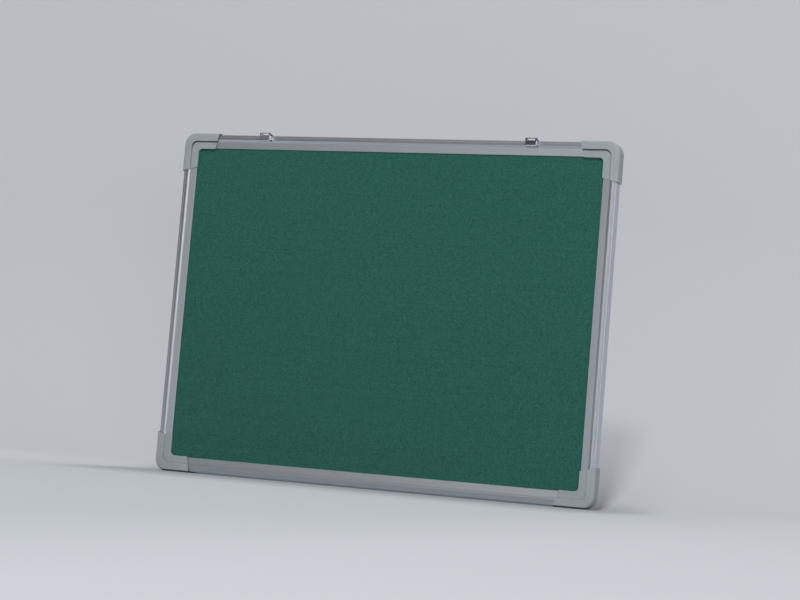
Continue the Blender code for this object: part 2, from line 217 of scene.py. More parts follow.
def makePlainWeave():
    spec = weaveSpec
    inputs = [("Threads", "NodeSocketFloat", 770.0), ("Slub Length", "NodeSocketFloat", 22.0)]
    group, start, end = newGroup("plainWeave", inputs, ("Height", "Tone", "Gap", "Over"))
    place = objectPlace(group)
    drift = clouds(group, place, spec["driftScale"], 2.0).outputs["Color"]
    bow = vectorMaths(group, "SUBTRACT", drift, spec["driftMiddle"])[0]
    bowed = vectorMaths(group, "MULTIPLY_ADD", bow, spec["bow"], place)[0]
    axes = node(group, "ShaderNodeSeparateXYZ", {0: bowed}).outputs
    across = maths(group, "MULTIPLY", axes[0], start["Threads"])
    along = maths(group, "MULTIPLY", axes[2], start["Threads"])
    warp = maths(group, "FLOOR", across)
    weft = maths(group, "FLOOR", along)
    warpRound = threadRound(group, across)
    weftRound = threadRound(group, along)
    over = maths(group, "PINGPONG", maths(group, "ADD", warp, weft), 1.0)
    warpTop = threadTop(group, warpRound, weftRound)
    weftTop = threadTop(group, weftRound, warpRound)
    height = mixValue(group, over, warpTop, weftTop)
    warpTone = threadTone(group, warp, along, start["Slub Length"], spec["warpSalt"])
    weftTone = threadTone(group, weft, across, start["Slub Length"], spec["weftSalt"])
    group.links.new(height, end["Height"])
    group.links.new(mixValue(group, over, warpTone, weftTone), end["Tone"])
    group.links.new(remap(group, height, *spec["gaps"]), end["Gap"])
    group.links.new(over, end["Over"])
    return group


fineGrain = makeFineGrain()
brushLines = makeBrushLines()
settledDust = makeSettledDust()
edgeRub = makeEdgeRub()
plainWeave = makePlainWeave()
print("shared effects ready")


# materials

lineSpan = (0.3, 0.7)  # most values of a noise lie in this span
patchSpan = (0.35, 0.65)  # a tighter span, for clearer patches


def newMaterial(name, metallic=0.0, specular=0.5):
    material = bpy.data.materials.new(name)
    material.use_nodes = True
    tree = material.node_tree
    shader = tree.nodes["Principled BSDF"]
    shader.inputs["Metallic"].default_value = metallic
    shader.inputs["Specular IOR Level"].default_value = specular
    return material, tree, shader


def addBump(tree, shader, height, strength, distance):
    bump = node(tree, "ShaderNodeBump", {"Height": height, "Strength": strength, "Distance": distance})
    tree.links.new(bump.outputs[0], shader.inputs["Normal"])


def paint(tree, shader, colour, roughness):
    tree.links.new(colour, shader.inputs["Base Color"])
    tree.links.new(roughness, shader.inputs["Roughness"])


clothSpec = {
    "size": (583 * mm, 433 * mm),
    "depth": 13.0 * mm,
    "thickness": 0.6 * mm,
    "cells": (146, 108),
    "cutCorner": 6 * mm,
    "wave": 0.1 * mm,
    "slowWave": 11,
    "quickWave": 43,
    "quickShift": (5, 9, 2),
    "waveShares": (0.7, 0.3),
    "threads": 770.0,
    "warpColour": (0.0300, 0.1230, 0.0990),
    # painted shade: where the weft lies on top, the cloth is painted darker than where the warp does
    "weftShadedColour": (0.0130, 0.0620, 0.0490),
    "paleThread": (0.0390, 0.1450, 0.1160),
    # a dark colour for random dark flecks, and painted shade in the gaps between threads
    "darkFleckAndGapShade": (0.0060, 0.0300, 0.0240),
    "fibres": {"Scale": 5200.0, "Patch Scale": 9.0},
    "flecks": {"Scale": 560.0},
    "slubs": (0.25, 0.75, 0.0, 0.15),
    "paleFlecks": (0.52, 0.70, 0.0, 0.5),
    "darkFlecks": (0.30, 0.48, 0.42, 0.0),
    "gapShare": 0.4,
    "fade": (0.0, 0.06),
    "fibreShare": 0.25,
    "rough": (0.2, 0.8, 0.96, 0.84),
    "bump": (0.5, 0.4 * mm),
    "sheenTint": (0.30, 0.55, 0.48, 1),
}


def makeClothMaterial():
    spec = clothSpec
    material, tree, shader = newMaterial("greenWeave", specular=0.12)
    weave = useGroup(tree, plainWeave, {"Threads": spec["threads"]})
    fibres = useGroup(tree, fineGrain, spec["fibres"])
    fleck = useGroup(tree, fineGrain, spec["flecks"])["Grain"]
    # painted shade: weft-over crossings darker than warp-over crossings
    thread = mixColour(tree, weave["Over"], spec["warpColour"], spec["weftShadedColour"])
    slubs = remap(tree, weave["Tone"], *spec["slubs"], "LINEAR")
    slubbed = mixColour(tree, slubs, thread, spec["paleThread"])
    paler = mixColour(tree, remap(tree, fleck, *spec["paleFlecks"]), slubbed, spec["paleThread"])
    flecked = mixColour(tree, remap(tree, fleck, *spec["darkFlecks"]), paler, spec["darkFleckAndGapShade"])
    # painted shade in the gaps between threads
    gaps = maths(tree, "MULTIPLY", weave["Gap"], spec["gapShare"])
    shaded = mixColour(tree, gaps, flecked, spec["darkFleckAndGapShade"])
    fade = remap(tree, fibres["Patch"], *lineSpan, *spec["fade"], "LINEAR")
    colour = mixColour(tree, fade, shaded, spec["paleThread"])
    nap = maths(tree, "MULTIPLY_ADD", fibres["Grain"], spec["fibreShare"], weave["Height"])
    paint(tree, shader, colour, remap(tree, weave["Tone"], *spec["rough"], "LINEAR"))
    addBump(tree, shader, nap, *spec["bump"])
    shader.inputs["Sheen Weight"].default_value = 0.02
    shader.inputs["Sheen Roughness"].default_value = 0.6
    shader.inputs["Sheen Tint"].default_value = spec["sheenTint"]
    return material


aluminiumSpec = {
    "colour": (0.555, 0.583, 0.632),
    "paleLine": (0.625, 0.653, 0.698),
    "dust": (0.62, 0.62, 0.60),
    "acrossStretch": (9.0, 5200.0, 5200.0),
    "uprightStretch": (5200.0, 5200.0, 9.0),
    "streaks": (0.0, 0.6),
    "rough": (0.32, 0.44),
    "dustAmount": 0.16,
    "dustRough": 0.4,
    "rubAmount": 0.25,
    "bump": (0.12, 0.06 * mm),
}


def makeAluminium(name, stretch):
    spec = aluminiumSpec
    material, tree, shader = newMaterial(name, metallic=1.0)
    lines = useGroup(tree, brushLines, {"Stretch": stretch})
    dust = useGroup(tree, settledDust, {"Amount": spec["dustAmount"]})["Mask"]
    rub = useGroup(tree, edgeRub, {"Amount": spec["rubAmount"]})["Mask"]
    streaks = remap(tree, lines["Streaks"], *patchSpan, *spec["streaks"], "LINEAR")
    metal = mixColour(tree, streaks, spec["colour"], spec["paleLine"])
    rubbed = mixColour(tree, rub, metal, spec["paleLine"])
    colour = mixColour(tree, dust, rubbed, spec["dust"])
    rough = remap(tree, lines["Lines"], *lineSpan, *spec["rough"], "LINEAR")
    paint(tree, shader, colour, maths(tree, "MULTIPLY_ADD", dust, spec["dustRough"], rough, clamp=True))
    addBump(tree, shader, lines["Lines"], *spec["bump"])
    tree.links.new(maths(tree, "SUBTRACT", 1.0, dust), shader.inputs["Metallic"])
    return material


plasticSpec = {
    "colour": (0.246, 0.272, 0.289),
    "patch": (0.270, 0.295, 0.311),
    "rub": (0.42, 0.44, 0.47),
    "dust": (0.50, 0.50, 0.49),
    "grain": {"Scale": 1900.0, "Patch Scale": 28.0},
    "rough": (0.40, 0.56),
    "dustAmount": 0.12,
    "rubAmount": 0.35,
    "bump": (0.18, 0.12 * mm),
    # the colour and spans below paint shade along the caps' steps and under the lower caps
    "shadeColour": (0.055, 0.060, 0.064),
    "stepInset": 9.9 * mm,
    "stepRadius": 7.6 * mm,
    "shadeReach": (0.4 * mm, 1.0 * mm),
    "shadeRise": (0.05, 0.40),
    "shadeShare": (0.15, 0.92),
    "shadeTurn": (-12 * mm, 2 * mm),
    "shadeLegs": (0.3, 1.0),
    "shadeFront": 15.8 * mm,
    "footShadeRise": (1.8 * mm, 2.9 * mm),
}


# painted shade under the lower caps and along the foot of every cap's step: that foot is a rounded
# rectangle on the front, and the painted shade is darkest on the level legs of the upper caps
def capPaintedShade(tree):
    spec = plasticSpec
    x, y, z = node(tree, "ShaderNodeSeparateXYZ", {0: objectPlace(tree)}).outputs
    shrink = spec["stepInset"] + spec["stepRadius"]
    fromMiddle = maths(tree, "ABSOLUTE", maths(tree, "SUBTRACT", z, boardMiddle))
    pastSide = maths(tree, "SUBTRACT", maths(tree, "ABSOLUTE", x), boardSpec["width"] / 2 - shrink)
    pastEnd = maths(tree, "SUBTRACT", fromMiddle, boardSpec["height"] / 2 - shrink)
    outSide = maths(tree, "MAXIMUM", pastSide, 0.0)
    outEnd = maths(tree, "MAXIMUM", pastEnd, 0.0)
    outward = node(tree, "ShaderNodeCombineXYZ", {0: outSide, 1: outEnd}).outputs[0]
    rounded = vectorMaths(tree, "LENGTH", outward)["Value"]
    inward = maths(tree, "MINIMUM", maths(tree, "MAXIMUM", pastSide, pastEnd), 0.0)
    offLine = maths(tree, "SUBTRACT", maths(tree, "ADD", rounded, inward), spec["stepRadius"])
    # painted shade along the foot of the step, as if cast by the step above it
    near = remap(tree, maths(tree, "ABSOLUTE", offLine), *spec["shadeReach"], 1.0, 0.0)
    share = remap(tree, z, *spec["shadeRise"], *spec["shadeShare"])
    turn = maths(tree, "SUBTRACT", pastEnd, pastSide)
    level = remap(tree, turn, *spec["shadeTurn"], *spec["shadeLegs"])
    onFront = maths(tree, "LESS_THAN", y, atDepth(spec["shadeFront"]))
    spread = maths(tree, "MULTIPLY", near, maths(tree, "MULTIPLY", share, level))
    alongStep = maths(tree, "MULTIPLY", spread, onFront)
    # painted shadow along the bottom of the lower caps, where they meet the floor
    underFoot = remap(tree, z, *spec["footShadeRise"], 1.0, 0.0)
    return maths(tree, "MAXIMUM", alongStep, underFoot)


def makePlastic():
    spec = plasticSpec
    material, tree, shader = newMaterial("mouldedGrey", specular=0.45)
    grain = useGroup(tree, fineGrain, spec["grain"])
    dust = useGroup(tree, settledDust, {"Amount": spec["dustAmount"]})["Mask"]
    rub = useGroup(tree, edgeRub, {"Amount": spec["rubAmount"]})["Mask"]
    patch = remap(tree, grain["Patch"], *patchSpan, 0.0, 1.0, "LINEAR")
    body = mixColour(tree, patch, spec["colour"], spec["patch"])
    worn = mixColour(tree, rub, body, spec["rub"])
    # painted shade along the caps' steps and under the lower caps
    capShaded = mixColour(tree, capPaintedShade(tree), worn, spec["shadeColour"])
    colour = mixColour(tree, dust, capShaded, spec["dust"])
    paint(tree, shader, colour, remap(tree, grain["Grain"], *lineSpan, *spec["rough"], "LINEAR"))
    addBump(tree, shader, grain["Grain"], *spec["bump"])
    return material


brightPlateSpec = {
    "colour": (0.64, 0.65, 0.67),
    "pale": (0.74, 0.75, 0.77),
    "rough": (0.09, 0.17),
    "stretch": (60.0, 2400.0, 2400.0),
}
zincPlateSpec = {
    "colour": (0.50, 0.50, 0.47),
    "pale": (0.62, 0.61, 0.57),
    "rough": (0.26, 0.40),
    "stretch": (900.0, 900.0, 900.0),
}
platingSpec = {
    "grain": {"Scale": 900.0, "Patch Scale": 160.0},
    "patches": (0.0, 0.7),
    "rubAmount": 0.4,
    "bump": (0.05, 0.05 * mm),
}


def makePlated(name, spec):
    material, tree, shader = newMaterial(name, metallic=1.0)
    lines = useGroup(tree, brushLines, {"Stretch": spec["stretch"]})
    grain = useGroup(tree, fineGrain, platingSpec["grain"])
    rub = useGroup(tree, edgeRub, {"Amount": platingSpec["rubAmount"]})["Mask"]
    patch = remap(tree, grain["Patch"], *patchSpan, *platingSpec["patches"], "LINEAR")
    metal = mixColour(tree, patch, spec["colour"], spec["pale"])
    rough = remap(tree, lines["Lines"], *lineSpan, *spec["rough"], "LINEAR")
    paint(tree, shader, mixColour(tree, rub, metal, spec["pale"]), rough)
    addBump(tree, shader, grain["Grain"], *platingSpec["bump"])
    return material


softBoardSpec = {
    "dark": (0.30, 0.21, 0.13),
    "pale": (0.42, 0.30, 0.19),
    "fleck": (0.16, 0.10, 0.06),
    "scale": 900.0,
    "rough": (0.86, 0.97),
}
hardboardSpec = {
    "dark": (0.215, 0.125, 0.066),
    "pale": (0.30, 0.185, 0.10),
    "fleck": (0.12, 0.068, 0.036),
    "scale": 420.0,
    "rough": (0.5, 0.72),
}
fibreSpec = {
    "upright": 0.35,
    "fleckScale": 3,
    "patchScale": 12.0,
    "flecks": (0.62, 0.75, 0.0, 0.6),
    "patches": (0.35, 0.7, 0.0, 0.3),
    "bump": (0.25, 0.2 * mm),
}


def makeFibreBoard(name, spec):
    material, tree, shader = newMaterial(name, specular=0.3)
    scale = spec["scale"]
    lines = useGroup(tree, brushLines, {"Stretch": (scale, scale, scale * fibreSpec["upright"])})
    grainScales = {"Scale": scale * fibreSpec["fleckScale"], "Patch Scale": fibreSpec["patchScale"]}
    grain = useGroup(tree, fineGrain, grainScales)
    fibre = remap(tree, lines["Lines"], *patchSpan, 0.0, 1.0, "LINEAR")
    body = mixColour(tree, fibre, spec["dark"], spec["pale"])
    flecked = mixColour(tree, remap(tree, grain["Grain"], *fibreSpec["flecks"]), body, spec["fleck"])
    patch = remap(tree, grain["Patch"], *fibreSpec["patches"], "LINEAR")
    rough = remap(tree, fibre, 0.0, 1.0, *spec["rough"], "LINEAR")
    paint(tree, shader, mixColour(tree, patch, flecked, spec["dark"]), rough)
    addBump(tree, shader, lines["Lines"], *fibreSpec["bump"])
    return material


nylonSpec = {
    "dark": (0.026, 0.026, 0.028),
    "pale": (0.040, 0.040, 0.042),
    "grain": {"Scale": 1500.0, "Patch Scale": 60.0},
    "rough": (0.45, 0.6),
    "bump": (0.15, 0.1 * mm),
}


def makeNylon():
    spec = nylonSpec
    material, tree, shader = newMaterial("darkNylon", specular=0.4)
    grain = useGroup(tree, fineGrain, spec["grain"])
    patch = remap(tree, grain["Patch"], *patchSpan, 0.0, 1.0, "LINEAR")
    colour = mixColour(tree, patch, spec["dark"], spec["pale"])
    paint(tree, shader, colour, remap(tree, grain["Grain"], *lineSpan, *spec["rough"], "LINEAR"))
    addBump(tree, shader, grain["Grain"], *spec["bump"])
    return material


clothMaterial = makeClothMaterial()
aluminiumAcross = makeAluminium("satinAluminiumAcross", aluminiumSpec["acrossStretch"])
aluminiumUpright = makeAluminium("satinAluminiumUpright", aluminiumSpec["uprightStretch"])
plasticMaterial = makePlastic()
clipMaterial = makePlated("brightPlate", brightPlateSpec)
screwMaterial = makePlated("zincPlate", zincPlateSpec)
coreMaterial = makeFibreBoard("softFibre", softBoardSpec)
backMaterial = makeFibreBoard("hardboardBrown", hardboardSpec)
nylonMaterial = makeNylon()
print("materials ready")


# piece helpers

def finishPiece(name, bm, material, body, nodeName, sharpAngle=38):
    mesh = bpy.data.meshes.new(name)
    bm.to_mesh(mesh)
    bm.free()
    mesh.shade_smooth()
    mesh.set_sharp_from_angle(angle=math.radians(sharpAngle))
    mesh.materials.append(material)
    piece = bpy.data.objects.new(name, mesh)
    scene.collection.objects.link(piece)
    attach(piece, body)
    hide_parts(nodeName)
    return piece


def evenShading(piece):
    weighted = piece.modifiers.new("evenShading", "WEIGHTED_NORMAL")
    weighted.keep_sharp = True
    weighted.weight = 100


def bevelEdges(bm, edges, radius, segments):
    bmesh.ops.bevel(
        bm, geom=edges, offset=radius, offset_type="OFFSET", affect="EDGES",
        segments=segments, profile=0.5, material=-1, clamp_overlap=True,
    )


def vertsOf(geom):
    return [item for item in geom if isinstance(item, bmesh.types.BMVert)]


def edgesOf(geom):
    return [item for item in geom if isinstance(item, bmesh.types.BMEdge)]


def growEdges(bm, edges, move):
    grown = bmesh.ops.extrude_edge_only(bm, edges=edges)["geom"]
    bmesh.ops.translate(bm, verts=vertsOf(grown), vec=move)
    return grown


# cloth, stretched over the core and held under the rails' lips

def buildCloth():
    spec = clothSpec
    width, height = spec["size"]
    across, up = spec["cells"]
    place = Matrix.Translation((0, atDepth(spec["depth"]), boardMiddle))
    upright = Matrix.Rotation(math.pi / 2, 4, "X")
    fit = Matrix.Diagonal((width / 2, height / 2, 1, 1))
    bm = bmesh.new()
    bmesh.ops.create_grid(bm, x_segments=across, y_segments=up, size=1, matrix=place @ upright @ fit)
    for sideX in (-1, 1):
        for sideZ in (-1, 1):
            spot = (sideX * (width / 2 - spec["cutCorner"]), 0, boardMiddle + sideZ * height / 2)
            everything = bm.verts[:] + bm.edges[:] + bm.faces[:]
            bmesh.ops.bisect_plane(
                bm, geom=everything, plane_co=spot, plane_no=(sideX, 0, sideZ), clear_outer=True,
            )
    slowShare, quickShare = spec["waveShares"]
    for vert in bm.verts:
        slow = noise.noise(vert.co * spec["slowWave"])
        quick = noise.noise(vert.co * spec["quickWave"] + Vector(spec["quickShift"]))
        vert.co.y += spec["wave"] * (slowShare * slow + quickShare * quick)
    bmesh.ops.recalc_face_normals(bm, faces=bm.faces)
    if sum(face.normal.y for face in bm.faces) > 0:
        bmesh.ops.reverse_faces(bm, faces=bm.faces)
    cloth = finishPiece("greenCloth", bm, clothMaterial, "frame", "fabric_face")
    thick = cloth.modifiers.new("clothThickness", "SOLIDIFY")
    thick.thickness = spec["thickness"]
    thick.offset = 0


buildCloth()
print("cloth ready")


# rails: one extruded section, rounded along its long edges

railSpec = {
    "endInset": 20 * mm,
    "lipWidth": 18.5 * mm,
    "bandWidth": 8.1 * mm,
    "slopeFoot": 8.9 * mm,
    "slopeTop": 6.9 * mm,
    "lipFront": boardSpec["lipFront"],
    "lipFall": 0.45 * mm,
    "bandFront": 16.4 * mm,
    "bandSlope": 0.9 * mm,
    "wall": 1.2 * mm,
    "backFlange": 14 * mm,
    "groovePlace": 3.2 * mm,
    "grooveWidth": 0.8 * mm,
    "grooveDepth": 0.2 * mm,
    "grooveSide": 0.16 * mm,
}
# radius and steps of each rounded corner of the section
railRounds = {
    "lipEdge": (0.5 * mm, 4),
    "slopeFoot": (0.7 * mm, 5),
    "slopeTop": (0.7 * mm, 5),
    "outerFront": (1.6 * mm, 10),
    "grooveIn": (0.15 * mm, 2),
    "grooveOut": (0.15 * mm, 2),
    "outerBack": (0.5 * mm, 3),
    "flangeBack": (0.15 * mm, 2),
}
# each rail: middle of its outer face, turn about Y, full length, material
railPlaces = {
    "top_rail": ((0, boardTop), 0, boardSpec["width"], aluminiumAcross),
    "right_rail": ((boardSpec["width"] / 2, boardMiddle), 90, boardSpec["height"], aluminiumUpright),
    "bottom_rail": ((0, boardSpec["foot"]), 180, boardSpec["width"], aluminiumAcross),
    "left_rail": ((-boardSpec["width"] / 2, boardMiddle), 270, boardSpec["height"], aluminiumUpright),
}


def bandFrontAt(inset):
    share = inset / railSpec["slopeTop"]
    return railSpec["bandFront"] - railSpec["bandSlope"] * (1 - share)


# inset from the outer face and depth of each corner, in order round the section
def railCorners():
    spec = railSpec
    inner = spec["groovePlace"] + spec["grooveWidth"] / 2
    outer = spec["groovePlace"] - spec["grooveWidth"] / 2
    floor = bandFrontAt(spec["groovePlace"]) - spec["grooveDepth"]
    lipBack = spec["lipFront"] - spec["wall"]
    return {
        "lipBack": (spec["lipWidth"], lipBack),
        "lipEdge": (spec["lipWidth"], spec["lipFront"] - spec["lipFall"]),
        "slopeFoot": (spec["slopeFoot"], spec["lipFront"]),
        "slopeTop": (spec["slopeTop"], spec["bandFront"]),
        "grooveIn": (inner, bandFrontAt(inner)),
        "grooveFloorIn": (inner - spec["grooveSide"], floor),
        "grooveFloorOut": (outer + spec["grooveSide"], floor),
        "grooveOut": (outer, bandFrontAt(outer)),
        "outerFront": (0, bandFrontAt(0)),
        "outerBack": (0, 0),
        "flangeBack": (spec["backFlange"], 0),
        "flangeFront": (spec["backFlange"], spec["wall"]),
        "channelBack": (spec["bandWidth"], spec["wall"]),
        "channelFront": (spec["bandWidth"], lipBack),
    }


def buildRail(name):
    (x, z), turn, fullLength, material = railPlaces[name]
    length = fullLength - 2 * railSpec["endInset"]
    corners = railCorners()
    bm = bmesh.new()
    loop = [bm.verts.new((-length / 2, atDepth(depth), -inset)) for inset, depth in corners.values()]
    outline = [bm.edges.new(pair) for pair in zip(loop, loop[1:] + loop[:1])]
    section = bmesh.ops.edgeloop_fill(bm, edges=outline)["faces"]
    pushed = bmesh.ops.extrude_face_region(bm, geom=section, use_keep_orig=True)["geom"]
    bmesh.ops.translate(bm, verts=vertsOf(pushed), vec=(length, 0, 0))
    for corner, (radius, segments) in railRounds.items():
        inset, depth = corners[corner]
        spot = Vector((0, atDepth(depth), -inset))
        inSection = Vector((0, 1, 1))
        along = [e for e in bm.edges if abs(e.verts[0].co.x - e.verts[1].co.x) > length / 2]
        here = [e for e in along if ((e.verts[0].co - spot) * inSection).length < tiny]
        bevelEdges(bm, here, radius, segments)
    place = Matrix.Translation((x, 0, z)) @ Matrix.Rotation(math.radians(turn), 4, "Y")
    bmesh.ops.transform(bm, matrix=place, verts=bm.verts)
    bmesh.ops.recalc_face_normals(bm, faces=bm.faces)
    rail = finishPiece(name.replace("_rail", "Rail"), bm, material, "frame", name)
    evenShading(rail)


for railName in railPlaces:
    buildRail(railName)
print("rails ready")


# corner caps: the CAD shell with its outer sharp edges softened

capSpec = {
    "edgeRound": 0.3 * mm,
    "segments": 3,
    "sharpFrom": math.radians(50),
    "mergeWithin": 0.002 * mm,
    "flatWithin": math.radians(0.4),
}
cornerNames = ("top_left", "top_right", "bottom_right", "bottom_left")


def buildCap(corner):
    spec = capSpec
    nodeName = f"corner_cap_{corner}"
    bm = bmesh.new()
    bm.from_mesh(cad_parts[nodeName].data)
    bmesh.ops.remove_doubles(bm, verts=bm.verts, dist=spec["mergeWithin"])
    bmesh.ops.dissolve_limit(bm, angle_limit=spec["flatWithin"], verts=bm.verts, edges=bm.edges)
    sharp = [e for e in bm.edges if e.is_manifold and e.calc_face_angle(0) > spec["sharpFrom"]]
    bevelEdges(bm, [e for e in sharp if e.is_convex], spec["edgeRound"], spec["segments"])
    cap = finishPiece(f"cap_{corner}", bm, plasticMaterial, "frame", nodeName)
    evenShading(cap)


for cornerName in cornerNames:
    buildCap(cornerName)
print("corner caps ready")


# hanging clips: a bent strip with a loop in front, side flanges and a toe that rests on the rail's step

clipSpec = {
    "places": {"left": -181.3 * mm, "right": 187 * mm},
    "halfWidth": 7.5 * mm,
    "halfOpening": 5.5 * mm,
    "sheet": 0.8 * mm,
    "lean": 0.12,
    "leanFrom": -6.9 * mm,
    "leanDepth": boardSpec["lipFront"] - 1 * mm,
    "flangeDepth": 5.6 * mm,
    "foldRound": 0.6 * mm,
    "foldSteps": 4,
    "bendSteps": 5,
    "edgeRound": 0.16 * mm,
    "edgeSteps": 2,
    "edgeAngle": math.radians(50),
}
# height above the rail's top, depth and inner rounding of each fold, in mm
clipFolds = {
    "toeEnd": (-9.32, 15.96, 0),
    "hookInner": (-8.2, 16.8, 0.4),
    "plateFoot": (-8.2, 22.6, 1.0),
    "flangeFoot": (-6.2, 22.6, 0),
    "windowFoot": (-1.2, 22.6, 0),
    "windowHead": (1.9, 22.6, 0),
    "plateHead": (2.9, 22.6, 0.3),
    "barBack": (2.9, 20.4, 0.5),
    "strapStart": (1.1, 14.5, 0.8),
    "backHead": (1.1, -1.1, 1.0),
    "backFoot": (-12.0, -1.1, 0),
}


# the front of the clip leans back over its foot
def clipPoint(name):
    height, depth = (value * mm for value in clipFolds[name][:2])
    above = height - clipSpec["leanFrom"]
    if above > 0 and depth > clipSpec["leanDepth"]:
        depth -= clipSpec["lean"] * above
    return atDepth(depth), boardTop + height


def foldEdges(bm, name):
    y, z = clipPoint(name)
    found = []
    for edge in bm.edges:
        ends = [vert.co for vert in edge.verts]
        if edge.is_manifold and all(abs(co.y - y) < tiny and abs(co.z - z) < tiny for co in ends):
            found.append(edge)
    return found


def buildClip(side):
    spec = clipSpec
    points = {name: clipPoint(name) for name in clipFolds}
    depths = {name: point[0] for name, point in points.items()}
    heights = {name: point[1] for name, point in points.items()}
    bm = bmesh.new()
    strip = [bm.verts.new((-spec["halfWidth"], y, z)) for y, z in points.values()]
    line = [bm.edges.new(pair) for pair in zip(strip, strip[1:])]
    margin = spec["halfWidth"] - spec["halfOpening"]
    for step in (margin, 2 * spec["halfOpening"], margin):
        grown = growEdges(bm, line, (step, 0, 0))
        moved = vertsOf(grown)
        line = [edge for edge in edgesOf(grown) if all(vert in moved for vert in edge.verts)]
    cut = []
    for face in bm.faces:
        centre = face.calc_center_median()
        besideWindow = heights["windowFoot"] < centre.z < heights["windowHead"]
        inWindow = besideWindow and centre.y < depths["barBack"]
        inStrap = depths["barBack"] < centre.y < depths["strapStart"] and centre.z > boardTop
        if abs(centre.x) < spec["halfOpening"] and (inWindow or inStrap):
            cut.append(face)
    bmesh.ops.delete(bm, geom=cut, context="FACES")
    folds = []
    for edge in bm.edges:
        middle = (edge.verts[0].co + edge.verts[1].co) / 2
        besideFlange = heights["flangeFoot"] < middle.z < heights["windowFoot"]
        onPlate = besideFlange and middle.y < depths["barBack"]
        if edge.is_boundary and onPlate and abs(middle.x) > spec["halfOpening"]:
            folds.append(edge)
    growEdges(bm, folds, (0, spec["flangeDepth"], 0))
    bevelEdges(bm, folds, spec["foldRound"], spec["foldSteps"])
    for name, (_, _, rounding) in clipFolds.items():
        if rounding:
            bevelEdges(bm, foldEdges(bm, name), rounding * mm, spec["bendSteps"])
    bmesh.ops.recalc_face_normals(bm, faces=bm.faces)
    plate = min(bm.faces, key=lambda face: face.calc_center_median().y)
    if plate.normal.y > 0:
        bmesh.ops.reverse_faces(bm, faces=bm.faces)
    bmesh.ops.translate(bm, verts=bm.verts, vec=(spec["places"][side], 0, 0))
    clipBody = f"{side}_clip"
    clip = finishPiece(f"{side}HangingClip", bm, clipMaterial, clipBody, clipBody)
    thick = clip.modifiers.new("sheetThickness", "SOLIDIFY")
    thick.thickness = spec["sheet"]
    thick.offset = -1
    thick.use_even_offset = True
    rolled = clip.modifiers.new("rolledEdges", "BEVEL")
    rolled.width = spec["edgeRound"]
    rolled.segments = spec["edgeSteps"]
    rolled.limit_method = "ANGLE"
    rolled.angle_limit = spec["edgeAngle"]
    evenShading(clip)


for clipSide in clipSpec["places"]:
    buildClip(clipSide)
print("clips ready")


# countersunk screws with a cross recess

screwSpec = {
    "headRadius": 2.6 * mm,
    "rimShare": 0.96,
    "rimHeight": 0.12 * mm,
    "shankRadius": 1.25 * mm,
    "headDepth": -1.7 * mm,
    "cone": 1.3 * mm,
    "tipStart": 10 * mm,
    "tip": 11.5 * mm,
    "crossReach": 1.5 * mm,
    "crossHalf": 0.32 * mm,
    "crossDeep": 0.9 * mm,
    "crossTaper": 0.6,
    "steps": 32,
    "mergeWithin": 0.01 * mm,
    "sharpFrom": 30,
}


def buildScrew(name):
    spec = screwSpec
    low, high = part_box(name)
    centre = (Vector(low) + Vector(high)) / 2
    head = atDepth(spec["headDepth"])
    profile = [
        (spec["headRadius"] * spec["rimShare"], head),
        (spec["headRadius"], head - spec["rimHeight"]),
        (spec["shankRadius"], head - spec["cone"]),
        (spec["shankRadius"], atDepth(spec["tipStart"])),
        (0, atDepth(spec["tip"])),
    ]
    bm = bmesh.new()
    line = [bm.verts.new((radius, y, 0)) for radius, y in profile]
    edges = [bm.edges.new(pair) for pair in zip(line, line[1:])]
    bmesh.ops.spin(
        bm, geom=line + edges, cent=(0, 0, 0), axis=(0, 1, 0), angle=2 * math.pi,
        steps=spec["steps"], use_merge=True,
    )
    bmesh.ops.remove_doubles(bm, verts=bm.verts, dist=spec["mergeWithin"])
    rim = [edge for edge in bm.edges if edge.is_boundary]
    reach, half = spec["crossReach"], spec["crossHalf"]
    quarter = [(half, half), (half, reach), (-half, reach)]
    cross = []
    for turn in range(4):
        quarterTurn = Matrix.Rotation(math.pi / 2 * turn, 2)
        cross += [quarterTurn @ Vector(point) for point in quarter]
    ring = [bm.verts.new((point.x, head, point.y)) for point in cross]
    crossEdges = [bm.edges.new(pair) for pair in zip(ring, ring[1:] + ring[:1])]
    bmesh.ops.bridge_loops(bm, edges=rim + crossEdges)
    bottom = vertsOf(growEdges(bm, crossEdges, (0, -spec["crossDeep"], 0)))
    taper = Matrix.Diagonal((spec["crossTaper"], 1, spec["crossTaper"], 1))
    bmesh.ops.transform(bm, matrix=taper, verts=bottom)
    bmesh.ops.contextual_create(bm, geom=[edge for edge in bm.edges if edge.is_boundary])
    bmesh.ops.translate(bm, verts=bm.verts, vec=(centre.x, 0, centre.z))
    bmesh.ops.recalc_face_normals(bm, faces=bm.faces)
    pieceName = name.replace("screw_", "crossScrew_")
    finishPiece(pieceName, bm, screwMaterial, "frame", name, spec["sharpFrom"])


for cornerName in cornerNames:
    for number in (1, 2):
        buildScrew(f"screw_{cornerName}_{number}")
print("screws ready")


# inner pieces keep their CAD shape

def coat(nodeName, material):
    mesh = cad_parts[nodeName].data
    mesh.materials.clear()
    mesh.materials.append(material)


coat("core_board", coreMaterial)
coat("back_panel", backMaterial)
for cornerName in cornerNames:
    coat(f"corner_key_{cornerName}", nylonMaterial)
print("inner pieces coated")


# studio sweep: a pale floor that curves up behind the board

sweepSpec = {
    "halfWidth": 9.0,
    "front": -8.0,
    "curveFrom": 0.03,
    "curveRadius": 0.42,
    "curveSteps": 40,
    "wall": 4.0,
    "rough": 0.8,
    # painted shade on the floor in line with the board
    "nearShadeColour": (0.332, 0.360, 0.388),
    "farColour": (0.500, 0.522, 0.558),
    "sideReach": (0.0, 0.3),
    "sideScale": 4.0,
    "wallColour": (0.440, 0.460, 0.486),
    "wallRise": (0.0, 0.012),
    "floorGlow": (0.575, 0.602, 0.640),
    "wallGlow": (0.522, 0.547, 0.582),
    "glowShare": (0.06, 0.65),
    "glowReach": (0.02, 0.35),
}


